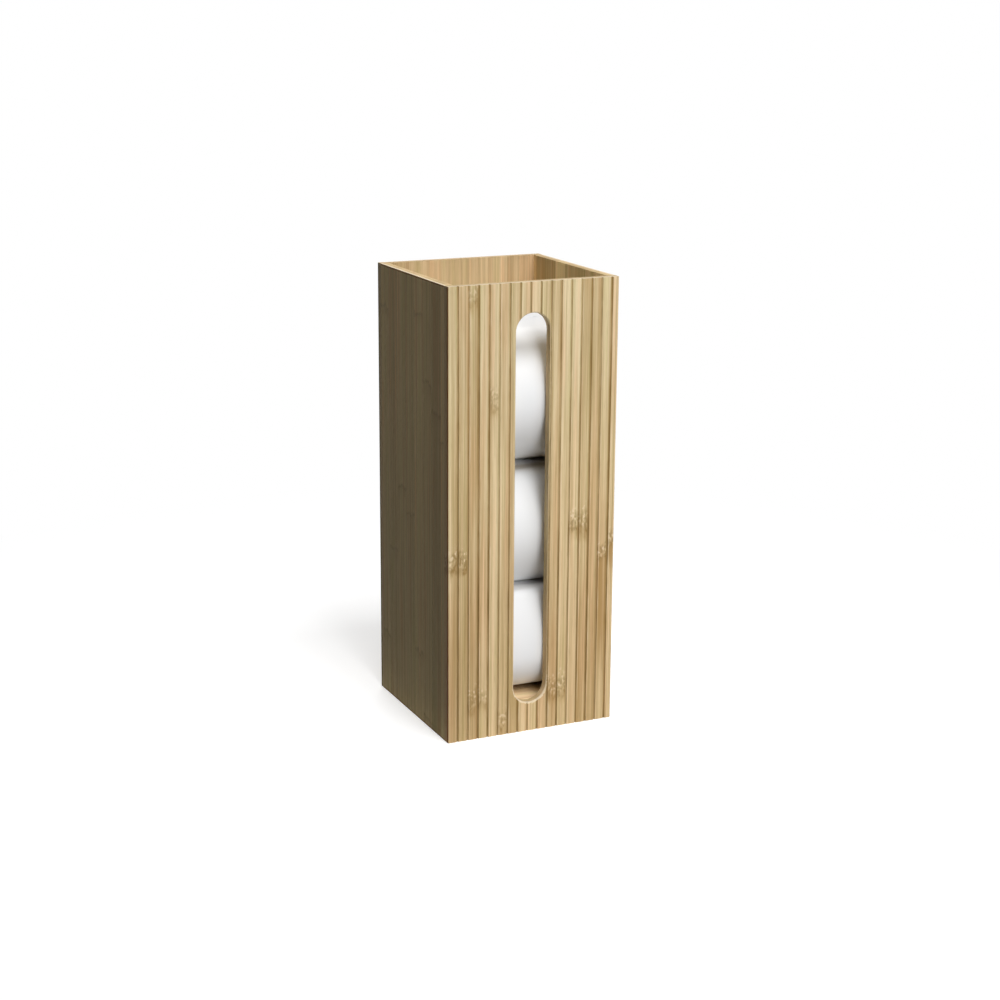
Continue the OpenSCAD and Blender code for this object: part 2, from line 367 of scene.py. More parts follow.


# Back board: as wide as the box, of the same upright strips, glued and pegged over the edges of
# the side walls. Its two end faces show on the left and right of the box, and are a darker,
# greener brown towards the back.
BACK_LIGHT = (0.780, 0.590, 0.345, 1)
BACK_DARK = (0.470, 0.330, 0.170, 1)
BACK_EDGE_BROWN = (0.42, 0.45, 0.34, 1)
BACK_EDGE_W = 0.0044
BACK_EDGE_FULL = 0.0030
back_bamboo = bamboo_board(
    "back bamboo", (X, Y, Z), Z, seed=23.7, light=BACK_LIGHT, dark=BACK_DARK, strip_w=WALL_STRIP_W,
    strip_tone=0.5, grain=0.9, rings=0.3,
)
back_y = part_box("back_panel")[1].y
finish_rim(back_bamboo, Y, back_y)
back_tree = back_bamboo.node_tree
back_socket = back_tree.nodes["Principled BSDF"].inputs["Base Color"]
back_wood = back_socket.links[0].from_socket
back_place = add(back_tree, "ShaderNodeSeparateXYZ", {0: board_place(back_tree, X, Y, Z)}).outputs
back_inward = calc(back_tree, "SUBTRACT", back_y, back_place[1])
back_edge = span(back_tree, back_inward, BACK_EDGE_W, BACK_EDGE_FULL)
back_edge = calc(back_tree, "MULTIPLY", facing(back_tree, X), back_edge)
back_tree.links.new(tint(back_tree, back_edge, back_wood, BACK_EDGE_BROWN, "MULTIPLY"), back_socket)
dress("back_panel", back_bamboo, ARRIS_R)


# Front board: upright strips again, each milled with two slats, so that a dark groove
# stands between every two slats. A few strips show the rings where leaves grew. The slot is
# cut through with a bevel round its edge.
FRONT_LIGHT = (0.865, 0.695, 0.425, 1)
FRONT_DARK = (0.540, 0.385, 0.180, 1)
GROOVE_BROWN = (0.300, 0.200, 0.076, 1)
STAIN_BROWN = (0.70, 0.58, 0.39, 1)
END_FACE_BROWN = (0.90, 0.80, 0.70, 1)
END_LINE_BROWN = (0.45, 0.28, 0.13, 1)
END_LINE_W = 0.0036
END_FACE_REACH = 0.0006
CUT_PALE = (0.89, 0.75, 0.53, 1)
CUT_W = 0.0013
CUT_WAVES = (560, 560)
CUT_WAVE = 0.0026
CUT_FROM_Z = 0.052
CUT_FULL_Z = 0.034
CUT_SHARES = (0.12, 0.85)
CUT_FADED_DEPTH = 0.0022
CUT_FULL_DEPTH = 0.0012
FRONT_ROUGHNESS = 0.48
FLUTE_ARRIS_R = 0.00022
SLOT_X = -0.001
SLOT_R = 0.0152
SLOT_LOW = 0.025
SLOT_HIGH = 0.355
GROOVE_COUNT = 16
GROOVE_MARGIN_LEFT = 0.0085
GROOVE_MARGIN_RIGHT = 0.0064
GROOVE_W = 0.0018
GROOVE_DEPTH = 0.0009
front_low, front_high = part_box("front_panel")
front_w = front_high.x - front_low.x
groove_pitch = (front_w - GROOVE_MARGIN_LEFT - GROOVE_MARGIN_RIGHT) / (GROOVE_COUNT - 1)
first_groove = front_low.x + GROOVE_MARGIN_LEFT

# How dark a groove looks: painted shade on its walls and bottom, more in one groove than in the next and
# more in some stretches of it. The wood beside it is stained by it in places, and in others a painted
# highlight runs beside its right-hand arris.
STAIN_W = 0.0018
GLINT_AT = 0.0015
GLINT_W = 0.0006
GLINT_SHARE = 0.45
GROOVE_SHADE_STRETCHES = (1, 22, 3.0)
GLINT_STRETCHES = (1, 35, 2.0)
GROOVE_SHADE_SHIFT = 0.37
GROOVE_REACH = 0.62
GROOVE_DARK_FROM = 0.05
GROOVE_DARK_FULL = 0.40
BEHIND_FLUTES = 1.25
groove, groove_in, groove_out = new_effect(
    "milled groove",
    {
        "Place": "Vector", "First": "Float", "Pitch": "Float", "Width": "Float", "Face": "Float",
        "Depth": "Float",
    },
    {"Mask": "Float", "Stain": "Float", "Glint": "Float"},
)
axes = add(groove, "ShaderNodeSeparateXYZ", {0: groove_in["Place"]}).outputs
groove_number = calc(groove, "SUBTRACT", axes[0], groove_in["First"])
groove_number = calc(groove, "DIVIDE", groove_number, groove_in["Pitch"])
groove_distance = calc(groove, "PINGPONG", groove_number, 0.5)
groove_distance = calc(groove, "MULTIPLY", groove_distance, groove_in["Pitch"])
groove_half = calc(groove, "MULTIPLY", groove_in["Width"], GROOVE_REACH)
groove_near = calc(groove, "LESS_THAN", groove_distance, groove_half)
sunk = calc(groove, "SUBTRACT", axes[1], groove_in["Face"])
sunk = calc(groove, "DIVIDE", sunk, groove_in["Depth"])
groove_wall = span(groove, sunk, GROOVE_DARK_FROM, GROOVE_DARK_FULL)
on_face = calc(groove, "LESS_THAN", sunk, BEHIND_FLUTES)
groove_index = calc(groove, "ROUND", groove_number)
groove_noise = add(groove, "ShaderNodeTexWhiteNoise", {"W": groove_index}, noise_dimensions="1D")
own_shade = groove_noise.outputs["Value"]
groove_x = calc(groove, "MULTIPLY", groove_index, GROOVE_SHADE_SHIFT)
groove_place = add(groove, "ShaderNodeCombineXYZ", {0: groove_x, 2: axes[2]}).outputs[0]
groove_shade = span(groove, stretched(groove, groove_place, *GROOVE_SHADE_STRETCHES), 0.30, 0.70, 0.45, 1.0)
groove_shade = calc(groove, "MULTIPLY", groove_shade, calc(groove, "MULTIPLY_ADD", own_shade, 0.40, 0.60))
# Painted shade: darkens the groove's walls and bottom, unevenly.
groove_mask = calc(groove, "MULTIPLY", groove_wall, on_face)
groove_mask = calc(groove, "MULTIPLY", groove_mask, groove_near)
groove.links.new(calc(groove, "MULTIPLY", groove_mask, groove_shade), groove_out["Mask"])
stain_share = calc(groove, "MULTIPLY", calc(groove, "MULTIPLY", own_shade, own_shade), groove_shade)
stain = calc(groove, "MULTIPLY", span(groove, groove_distance, STAIN_W, GROOVE_W / 2), stain_share)
groove.links.new(calc(groove, "MULTIPLY", stain, on_face), groove_out["Stain"])
# Painted highlight: a pale line beside the right-hand arris of some grooves.
groove_side = calc(groove, "WRAP", groove_number, 0.5, -0.5)
groove_side = calc(groove, "MULTIPLY", groove_side, groove_in["Pitch"])
from_glint = calc(groove, "ABSOLUTE", calc(groove, "SUBTRACT", groove_side, GLINT_AT))
glint_share = span(groove, stretched(groove, groove_place, *GLINT_STRETCHES), 0.45, 0.70)
glint = calc(groove, "MULTIPLY", span(groove, from_glint, GLINT_W, 0.0), glint_share)
groove.links.new(calc(groove, "MULTIPLY", glint, on_face), groove_out["Glint"])

# The ring where a leaf grew: across a strip, pale flecks and olive-brown specks lie side by
# side, the flecks reaching higher, and below them a darker streak fades along the grain.
LEAF_WAVES = (170, 60)
LEAF_WAVE_H = 0.020
LEAF_SPOTS = (460, 260, 1.0)
STREAK_GRAIN = (420, 5, 1.0)
leaf_ring, leaf_in, leaf_out = new_effect(
    "leaf ring",
    {
        "Place": "Vector", "Across": "Float", "Height": "Float", "Half Width": "Float", "Strength": "Float",
        "Streak Length": "Float",
    },
    {"Flecks": "Float", "Specks": "Float", "Streak": "Float"},
)
axes = add(leaf_ring, "ShaderNodeSeparateXYZ", {0: leaf_in["Place"]}).outputs
leaf_x = calc(leaf_ring, "ABSOLUTE", calc(leaf_ring, "SUBTRACT", axes[0], leaf_in["Across"]))
leaf_edge = calc(leaf_ring, "SUBTRACT", leaf_in["Half Width"], leaf_x)
leaf_inside = span(leaf_ring, leaf_edge, -0.0004, 0.0008)
leaf_all = calc(leaf_ring, "MULTIPLY", leaf_inside, leaf_in["Strength"])
leaf_wave = calc(leaf_ring, "SUBTRACT", stretched(leaf_ring, leaf_in["Place"], *LEAF_WAVES), 0.5)
leaf_z = calc(leaf_ring, "SUBTRACT", axes[2], leaf_in["Height"])
leaf_z = calc(leaf_ring, "MULTIPLY_ADD", leaf_wave, LEAF_WAVE_H, leaf_z)
leaf_spots = stretched(leaf_ring, leaf_in["Place"], *LEAF_SPOTS)


def leaf_band(foot, foot_full, top_full, top):
    """1 between the two full heights above the ring, fading to 0 at its foot and top."""
    rise = span(leaf_ring, leaf_z, foot, foot_full)
    return calc(leaf_ring, "MULTIPLY", rise, span(leaf_ring, leaf_z, top, top_full))


fleck_spots = span(leaf_ring, leaf_spots, 0.44, 0.34)
flecks = calc(leaf_ring, "MULTIPLY", leaf_band(-0.006, 0.000, 0.006, 0.015), fleck_spots)
speck_spots = span(leaf_ring, leaf_spots, 0.48, 0.60, 0.30, 1.0)
specks = calc(leaf_ring, "MULTIPLY", leaf_band(-0.013, -0.006, 0.002, 0.010), speck_spots)
streak_end = calc(leaf_ring, "MULTIPLY", leaf_in["Streak Length"], -1.0)
streak_grain = stretched(leaf_ring, leaf_in["Place"], *STREAK_GRAIN)
streak_grain = span(leaf_ring, streak_grain, 0.34, 0.60, 0.3, 1.0)
streak_full = calc(leaf_ring, "MULTIPLY", streak_end, 0.4)
streak = calc(leaf_ring, "MULTIPLY", leaf_band(streak_end, streak_full, -0.008, -0.002), streak_grain)
for title, mark in (("Flecks", flecks), ("Specks", specks), ("Streak", streak)):
    leaf_ring.links.new(calc(leaf_ring, "MULTIPLY", mark, leaf_all, clamp=True), leaf_out[title])

# Slats are counted from the left: the first slat of the ring, how many slats it crosses, its
# height on the board, its strength and how far the streak below it runs.
LEAF_RINGS = (
    (2, 1, 0.372, 0.60, 0.020), (4, 1, 0.287, 0.60, 0.020), (0, 2, 0.155, 0.95, 0.014),
    (12, 2, 0.178, 0.90, 0.020), (15, 1, 0.150, 1.00, 0.140), (16, 1, 0.158, 1.00, 0.030),
    (2, 2, 0.036, 0.70, 0.020), (10, 2, 0.036, 0.85, 0.020), (5, 1, 0.014, 0.70, 0.020),
)
FLECK_CREAM = (0.88, 0.72, 0.49, 1)
SPECK_OLIVE = (0.27, 0.165, 0.050, 1)
STREAK_ORANGE = (0.43, 0.26, 0.095, 1)
LEAF_MARKS = (("Streak", 0.85, STREAK_ORANGE), ("Specks", 0.62, SPECK_OLIVE), ("Flecks", 0.70, FLECK_CREAM))

# The board is painted darker towards its foot and a little paler towards its top, as painted shade and
# light, and each slat is half a strip wide.
FOOT_SHADE = (0.93, 0.88, 0.84, 1)
FOOT_SHADE_SPAN = (0.22, 0.05)
TOP_LIGHT = (0.95, 0.97, 1.0, 1)
TOP_LIGHT_SPAN = (0.20, 0.34)
FRONT_SEED = 12.0
FRONT_STRIP_W = 2 * groove_pitch
front_bamboo, front_tree = new_material("fluted bamboo")
front_place = board_place(front_tree, X, Y, Z)
front_strips = use_effect(front_tree, strips, {
    "Place": front_place, "Strip Width": FRONT_STRIP_W, "Seed": FRONT_SEED - first_groove / FRONT_STRIP_W,
    "Light": FRONT_LIGHT, "Dark": FRONT_DARK, "Strip Tone": 0.5, "Grain": 1.0, "Ring Strength": 0.0,
    "End Grain": facing(front_tree, Z),
})
front_parts = add(front_tree, "ShaderNodeSeparateXYZ", {0: front_place}).outputs
# Painted shade towards the foot and painted light towards the top.
foot_share = span(front_tree, front_parts[2], *FOOT_SHADE_SPAN)
front_colour = tint(front_tree, foot_share, front_strips["Color"], FOOT_SHADE, "MULTIPLY")
top_share = span(front_tree, front_parts[2], *TOP_LIGHT_SPAN)
front_colour = tint(front_tree, top_share, front_colour, TOP_LIGHT, "MULTIPLY")
for first_slat, slats, height, strength, streak_l in LEAF_RINGS:
    ring_marks = use_effect(front_tree, leaf_ring, {
        "Place": front_place, "Across": first_groove + (first_slat - 1 + slats / 2) * groove_pitch,
        "Height": height, "Half Width": slats * groove_pitch / 2, "Strength": strength,
        "Streak Length": streak_l,
    })
    for mark, share, shade in LEAF_MARKS:
        strong = calc(front_tree, "MULTIPLY", ring_marks[mark], share)
        front_colour = tint(front_tree, strong, front_colour, shade)
groove_marks = use_effect(front_tree, groove, {
    "Place": front_place, "First": first_groove, "Pitch": groove_pitch, "Width": GROOVE_W,
    "Face": front_low.y, "Depth": GROOVE_DEPTH,
})
front_colour = tint(front_tree, groove_marks["Stain"], front_colour, STAIN_BROWN, "MULTIPLY")
# Painted highlight beside each groove's right-hand arris.
glint_marks = calc(front_tree, "MULTIPLY", groove_marks["Glint"], GLINT_SHARE)
front_colour = tint(front_tree, glint_marks, front_colour, CUT_PALE)
# Painted shade in each groove.
front_colour = tint(front_tree, groove_marks["Mask"], front_colour, GROOVE_BROWN)

# The two end faces are darker, most along their front arris. The bevel of the slot shows the pale cut
# wood, unevenly and most of all at its foot, where it is partly a painted highlight. The slot is all that
# lies within SLOT_R of its middle line, and the pale cut reaches CUT_W beyond it.
front_inward = calc(front_tree, "SUBTRACT", front_parts[1], front_low.y)
from_middle = calc(front_tree, "ABSOLUTE", front_parts[0])
end_near = calc(front_tree, "GREATER_THAN", from_middle, front_w / 2 - END_FACE_REACH)
end_face = calc(front_tree, "MULTIPLY", facing(front_tree, X), end_near)
end_line = span(front_tree, front_inward, END_LINE_W, END_LINE_W * 0.6)
end_line = calc(front_tree, "MULTIPLY", end_face, end_line)
front_colour = tint(front_tree, end_face, front_colour, END_FACE_BROWN, "MULTIPLY")
front_colour = tint(front_tree, end_line, front_colour, END_LINE_BROWN, "MULTIPLY")
slot_middle_z = (SLOT_HIGH + SLOT_LOW) / 2
slot_half_l = (SLOT_HIGH - SLOT_LOW) / 2 - SLOT_R
slot_side = calc(front_tree, "SUBTRACT", front_parts[0], SLOT_X)
slot_up = calc(front_tree, "ABSOLUTE", calc(front_tree, "SUBTRACT", front_parts[2], slot_middle_z))
slot_past = calc(front_tree, "SUBTRACT", slot_up, slot_half_l)
slot_past = calc(front_tree, "MAXIMUM", slot_past, 0.0)
slot_away = calc(front_tree, "MULTIPLY", slot_past, slot_past)
slot_away = calc(front_tree, "MULTIPLY_ADD", slot_side, slot_side, slot_away)
slot_away = calc(front_tree, "SQRT", slot_away)
cut_wave = calc(front_tree, "SUBTRACT", stretched(front_tree, front_place, *CUT_WAVES), 0.5)
slot_away = calc(front_tree, "MULTIPLY_ADD", cut_wave, CUT_WAVE, slot_away)
# The pale cut is weighted to the slot's foot, partly as a painted highlight.
cut_share = span(front_tree, front_parts[2], CUT_FROM_Z, CUT_FULL_Z, *CUT_SHARES)
in_bevel = span(front_tree, front_inward, CUT_FADED_DEPTH, CUT_FULL_DEPTH, 0.25, 1.0)
cut = span(front_tree, slot_away, SLOT_R + CUT_W, SLOT_R + CUT_W * 0.6)
cut = calc(front_tree, "MULTIPLY", cut, cut_share)
cut = calc(front_tree, "MULTIPLY", cut, in_bevel)
front_colour = tint(front_tree, cut, front_colour, CUT_PALE)
finish_wood(front_tree, front_colour, front_strips["Relief"], FRONT_ROUGHNESS, GRAIN_DEPTH)
finish_rim(front_bamboo, Y, front_low.y)
dress("front_panel", front_bamboo, FLUTE_ARRIS_R)


# Dowels: four plain pegs of turned beech in each upright corner, glued into the front
# or back board and the edge of a side wall. None of them shows once the box is together.
BEECH = (0.690, 0.500, 0.300, 1)
BEECH_DARK = (0.560, 0.370, 0.200, 1)
BEECH_FLECKS = (1800, 160)
BEECH_ROUGHNESS = 0.6
BEECH_GRAIN_DEPTH = 0.0001
beech, beech_tree = new_material("dowel beech")
beech_place = board_place(beech_tree, X, Z, Y)
beech_flecks = stretched(beech_tree, beech_place, *BEECH_FLECKS)
beech_colour = tint(beech_tree, span(beech_tree, beech_flecks, 0.35, 0.65), BEECH_DARK, BEECH)
finish_wood(beech_tree, beech_colour, beech_flecks, BEECH_ROUGHNESS, BEECH_GRAIN_DEPTH)
for corner in ("front_left", "front_right", "back_left", "back_right"):
    give(corner + "_dowels", beech)


# Cores: tubes of grey-brown cardboard, wound from strips at a slant, so that a seam climbs
# round each one like a thread. The paper is wound on them, and they end just inside it.
CORE_PALE = (0.500, 0.370, 0.245, 1)
CORE_DARK = (0.330, 0.225, 0.135, 1)
CORE_SEAM_RISE = 0.062
CORE_SEAM_W = 0.0007
CORE_SEAM_SHARE = 0.6
CORE_FUZZ = (900, 900, 4.0)
CORE_BLOTCHES = (130, 130, 2.0)
CORE_FUZZ_TONE = 1.4
CORE_ROUGHNESS = 0.9
CORE_GLOSS = 0.2
CORE_BUMP = 0.4
CORE_SEAM_DEPTH = 0.0003


def cardboard(name, centre):
    """Material of a core whose axis runs through the centre along X."""
    material, tree = new_material(name)
    point = add(tree, "ShaderNodeTexCoord").outputs["Object"]
    local = add(tree, "ShaderNodeVectorMath", {0: point, 1: centre}, operation="SUBTRACT").outputs[0]
    parts = add(tree, "ShaderNodeSeparateXYZ", {0: local}).outputs
    turn = calc(tree, "DIVIDE", calc(tree, "ARCTAN2", parts[2], parts[1]), 2 * math.pi)
    climb = calc(tree, "ADD", calc(tree, "DIVIDE", parts[0], CORE_SEAM_RISE), turn)
    seam_distance = calc(tree, "MULTIPLY", calc(tree, "PINGPONG", climb, 0.5), CORE_SEAM_RISE)
    seam = span(tree, seam_distance, 0.0, CORE_SEAM_W, 1.0, 0.0)
    fuzz = stretched(tree, local, *CORE_FUZZ)
    blotches = stretched(tree, local, *CORE_BLOTCHES)
    board_tone = calc(tree, "SUBTRACT", fuzz, 0.5)
    board_tone = calc(tree, "MULTIPLY_ADD", board_tone, CORE_FUZZ_TONE, blotches, clamp=True)
    colour = tint(tree, board_tone, CORE_DARK, CORE_PALE)
    colour = tint(tree, calc(tree, "MULTIPLY", seam, CORE_SEAM_SHARE), colour, CORE_DARK)
    shader = tree.nodes["Principled BSDF"]
    shader.inputs["Roughness"].default_value = CORE_ROUGHNESS
    shader.inputs["Specular IOR Level"].default_value = CORE_GLOSS
    height = calc(tree, "SUBTRACT", fuzz, seam)
    relief = {"Height": height, "Strength": CORE_BUMP, "Distance": CORE_SEAM_DEPTH}
    bump = add(tree, "ShaderNodeBump", relief)
    tree.links.new(colour, shader.inputs["Base Color"])
    tree.links.new(bump.outputs["Normal"], shader.inputs["Normal"])
    return material


LEVELS = ("bottom", "middle", "top")
for level in LEVELS:
    tube_low, tube_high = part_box(level + "_core")
    give(level + "_core", cardboard(level + " core cardboard", (tube_low + tube_high) / 2))


# Rolls: soft white tissue wound on its core, lying on its side. The weight above presses each
# one flat where it lies and is lain on, the bottom one most. The ends show the edges of the
# sheets, and one loose edge lies along the outside, with perforations at every sheet.
TISSUE = (0.895, 0.909, 0.926, 1)
TISSUE_END = (0.800, 0.798, 0.790, 1)
TISSUE_SHADE = (0.640, 0.635, 0.620, 1)
# Painted shade in the creases between rolls: its colour, and how far ambient occlusion looks for it.
CREASE_SHADE = (0.46, 0.40, 0.32, 1)
CREASE_REACH = 0.022
CREASE_SHADE_LOW = 0.13
CREASE_SHADE_HIGH = 0.17
ROLL_EDGE_R = 0.0026
SHEET_T = 0.0003
SHEET_L = 0.125
DENT_DEPTH = 0.0007
DENTS_PER_M = 22
END_RIPPLE = 0.0005
STEP_L = 0.0014
END_RINGS = 26
EDGE_RINGS = 5
BARREL_RINGS = 44
EMBOSS_PITCH = 0.0042
PERFORATION_W = 0.0007
# Radius of each roll's front and back, of its soft edges at the top and of those at the foot, as
# shares of its free diameter, and where its loose edge lies, as a share of the way round from
# its back up over the top.
ROLL_SHAPES = {
    "bottom": (0.75, 0.08, 0.34, 0.985),
    "middle": (0.49, 0.155, 0.155, 0.0),
    "top": (0.505, 0.25, 0.25, 0.99),
}


def quarter_way(half_depth, half_height, face_r, edge_r):
    """The way from the middle of a pressed roll's back up to the middle of its top, in steps of
    about STEP_L, as points with their outward turns: a wide arc, a soft edge and a flat."""
    face_y = half_depth - face_r
    edge_z = half_height - edge_r
    reach = face_r - edge_r
    join = math.asin(edge_z / reach)
    edge_y = face_y + reach * math.cos(join)
    arcs = ((face_y, 0.0, face_r, 0.0, join), (edge_y, edge_z, edge_r, join, math.pi / 2))
    way = []
    for y, z, r, start, end in arcs:
        steps = max(2, round((end - start) * r / STEP_L))
        for i in range(steps):
            turn = start + (end - start) * i / steps
            way.append((y + r * math.cos(turn), z + r * math.sin(turn), turn))
    steps = max(1, round(edge_y / STEP_L))
    for i in range(steps + 1):
        way.append((edge_y * (1 - i / steps), half_height, math.pi / 2))
    return way


def way_round(half_depth, half_height, face_r, top_r, foot_r):
    """The whole way round a pressed roll, from its back over its top, front and foot."""
    top = quarter_way(half_depth, half_height, face_r, top_r)
    foot = quarter_way(half_depth, half_height, face_r, foot_r)
    way = top + [(-y, z, math.pi - turn) for y, z, turn in reversed(top[:-1])]
    way += [(-y, -z, math.pi + turn) for y, z, turn in foot[1:]]
    return way + [(y, -z, 2 * math.pi - turn) for y, z, turn in reversed(foot[1:-1])]


def roll_rings(half_w):
    """The rings of a roll's skin from the left core edge round to the right one: how far it lies
    from the middle, how far out from core to outline, how far it is inset, and which part it is."""
    left = []
    for i in range(END_RINGS):
        left.append((half_w, i / END_RINGS, ROLL_EDGE_R, "end"))
    for i in range(EDGE_RINGS + 1):
        angle = math.pi / 2 * i / EDGE_RINGS
        inset = ROLL_EDGE_R * (1 - math.sin(angle))
        left.append((half_w - ROLL_EDGE_R * (1 - math.cos(angle)), 1.0, inset, "barrel"))
    barrel_half = half_w - ROLL_EDGE_R
    barrel = []
    for i in range(1, BARREL_RINGS):
        barrel.append((barrel_half * (2 * i / BARREL_RINGS - 1), 1.0, 0.0, "barrel"))
    rings = [(-x, out, inset, part) for x, out, inset, part in left]
    return rings + barrel + list(reversed(left))


def wind_roll(level, free_d, core_r):
    """The mesh of one roll, with the outside and the ends as two materials."""
    low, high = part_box(level + "_roll")
    centre, half = (low + high) / 2, (high - low) / 2
    *radius_shares, loose_share = ROLL_SHAPES[level]
    way = way_round(half.y, half.z, *(share * free_d for share in radius_shares))
    start = round(len(way) * loose_share)
    way = way[start:] + way[:start + 1]
    count = len(way)
    travel = [0.0]
    for here, there in zip(way, way[1:]):
        travel.append(travel[-1] + math.hypot(there[0] - here[0], there[1] - here[1]))
    girth = travel[-1]
    rings = roll_rings(half.x)
    points = []
    for x, out, inset, part in rings:
        for i, (y, z, turn) in enumerate(way):
            normal = Vector((math.cos(turn), math.sin(turn)))
            spiral = SHEET_T * travel[i] / girth
            outer = Vector((y, z)) - normal * (inset + spiral)
            flat = Vector((y, z)).normalized() * (core_r + SHEET_T - spiral)
            place = flat.lerp(outer, out)
            if part == "end":
                ripple = noise.noise(Vector((out * 34, turn * 1.2, x * 5 + centre.z * 70)))
                shift = END_RIPPLE * (0.6 + ripple) * math.sin(math.pi * out)
                points.append(Vector((x - math.copysign(shift, x), place.x, place.y)) + centre)
            else:
                dent = 0.5 + 0.5 * noise.noise(Vector((x, place.x, place.y)) * DENTS_PER_M + centre * 90)
                pressed = place - normal * DENT_DEPTH * dent
                points.append(Vector((x, pressed.x, pressed.y)) + centre)
    faces, parts, marks, smooth = [], [], [], []
    for row in range(len(rings)):
        after = (row + 1) % len(rings)
        for i in range(count - 1):
            j = i + 1
            faces.append((row * count + i, row * count + j, after * count + j, after * count + i))
            here, there = rings[row], rings[after]
            on_end = 1 if "end" in (here[3], there[3]) else 0
            parts.append(on_end)
            smooth.append(True)
            corners = ((i, here), (j, here), (j, there), (i, there))
            marks.extend((travel[column], ring[on_end]) for column, ring in corners)
        faces.append((row * count + count - 1, row * count, after * count, after * count + count - 1))
        parts.append(parts[-1])
        smooth.append(False)
        marks.extend([(travel[-1], rings[row][parts[-1]])] * 4)
    mesh = bpy.data.meshes.new(level + "_tissue")
    mesh.from_pydata(points, [], faces)
    mesh.polygons.foreach_set("material_index", parts)
    mesh.polygons.foreach_set("use_smooth", smooth)
    unwound = mesh.uv_layers.new(name="wound")
    unwound.data.foreach_set("uv", [value for mark in marks for value in mark])
    mesh.update()
    loose_edge = []
    for edge in mesh.edges:
        first, second = (corner % count for corner in edge.vertices)
        loose_edge.append(first == second and first in (0, count - 1))
    mesh.edges.foreach_set("use_edge_sharp", loose_edge)
    roll = bpy.data.objects.new(level + "_tissue", mesh)
    bpy.context.scene.collection.objects.link(roll)
    return roll


# Outside of the roll: white, with small embossed dimples and perforations across the sheet, and
# painted shade, browner, on up-facing paper deep in the creases, most of it on the middle roll.
CREPE = (1300, 1300, 3.0)
PUFFS = (70, 70, 2.0)
DIMPLE_DEPTH = -0.14
PERFORATION_DEPTH = -0.5
CREPE_HEIGHT = 0.25
DIMPLE_SHADE = 0.012
PERFORATION_SHADE = 0.10
PAPER_BUMP = 0.25
PAPER_RELIEF = 0.0005
tissue, tree = new_material("tissue")
wound = add(tree, "ShaderNodeUVMap", uv_map="wound").outputs[0]
parts = add(tree, "ShaderNodeSeparateXYZ", {0: wound}).outputs
emboss_turn = 2 * math.pi / EMBOSS_PITCH
waves = []
for slant in ("ADD", "SUBTRACT"):
    wave_turn = calc(tree, "MULTIPLY", calc(tree, slant, parts[0], parts[1]), emboss_turn)
    waves.append(calc(tree, "SINE", wave_turn))
dimples = span(tree, calc(tree, "MULTIPLY", *waves), 0.25, 0.95)
sheet_near = calc(tree, "PINGPONG", calc(tree, "DIVIDE", parts[0], SHEET_L), 0.5)
sheet_distance = calc(tree, "MULTIPLY", sheet_near, SHEET_L)
perforation = span(tree, sheet_distance, 0.0, PERFORATION_W, 1.0, 0.0)
point = add(tree, "ShaderNodeTexCoord").outputs["Object"]
crepe = stretched(tree, point, *CREPE)
puffs = stretched(tree, point, *PUFFS)
height = calc(tree, "MULTIPLY_ADD", crepe, CREPE_HEIGHT, puffs)
height = calc(tree, "MULTIPLY_ADD", dimples, DIMPLE_DEPTH, height)
height = calc(tree, "MULTIPLY_ADD", perforation, PERFORATION_DEPTH, height)
shade = calc(tree, "MULTIPLY", dimples, DIMPLE_SHADE)
shade = calc(tree, "MULTIPLY_ADD", perforation, PERFORATION_SHADE, shade, clamp=True)
paper_colour = tint(tree, shade, TISSUE, TISSUE_SHADE)
# Painted shade: up-facing paper deep in a crease, where ambient occlusion is low, is darkened brown.
open_share = add(tree, "ShaderNodeAmbientOcclusion", {"Distance": CREASE_REACH}, samples=8).outputs["AO"]
outward = add(tree, "ShaderNodeNewGeometry").outputs["Normal"]
upward = span(tree, add(tree, "ShaderNodeSeparateXYZ", {0: outward}).outputs[2], 0.55, 0.80)
crease_darkening = calc(tree, "MULTIPLY", span(tree, open_share, 0.35, 0.80, 1.0, 0.0), upward)
crease_darkening = calc(tree, "MULTIPLY", crease_darkening, span(tree, open_share, 0.04, 0.34, 0.10, 1.0))
paper_z = add(tree, "ShaderNodeSeparateXYZ", {0: point}).outputs[2]
crease_darkening = calc(tree, "MULTIPLY", crease_darkening, span(tree, paper_z, CREASE_SHADE_LOW, CREASE_SHADE_HIGH, 0.30, 1.0))
paper_colour = tint(tree, crease_darkening, paper_colour, CREASE_SHADE, "MULTIPLY")
tree.links.new(paper_colour, tree.nodes["Principled BSDF"].inputs["Base Color"])
bump = add(tree, "ShaderNodeBump", {"Height": height, "Strength": PAPER_BUMP, "Distance": PAPER_RELIEF})
tree.links.new(bump.outputs["Normal"], tree.nodes["Principled BSDF"].inputs["Normal"])

# Ends of the roll: the edges of the sheets as fine rings round the core.
RINGS_ALONG = 9.0
RINGS_OUT = 95.0
END_SHADE_SHARE = 0.55
END_BUMP = 0.6
END_RELIEF = 0.0006
PAPER_ROUGHNESS = 0.95
PAPER_GLOSS = 0.15
tissue_ends, tree = new_material("tissue ends")
wound = add(tree, "ShaderNodeUVMap", uv_map="wound").outputs[0]
parts = add(tree, "ShaderNodeSeparateXYZ", {0: wound}).outputs
rings_along = calc(tree, "MULTIPLY", parts[0], RINGS_ALONG)
rings_out = calc(tree, "MULTIPLY", parts[1], RINGS_OUT)
rings_place = add(tree, "ShaderNodeCombineXYZ", {0: rings_along, 1: rings_out}).outputs[0]
ring_noise = {"Vector": rings_place, "Scale": 1.0, "Detail": 3.0}
sheet_edges = add(tree, "ShaderNodeTexNoise", ring_noise).outputs[0]
edge_shade = span(tree, sheet_edges, 0.38, 0.62, 1.0, 0.0)
end_colour = tint(tree, calc(tree, "MULTIPLY", edge_shade, END_SHADE_SHARE), TISSUE_END, TISSUE_SHADE)
tree.links.new(end_colour, tree.nodes["Principled BSDF"].inputs["Base Color"])
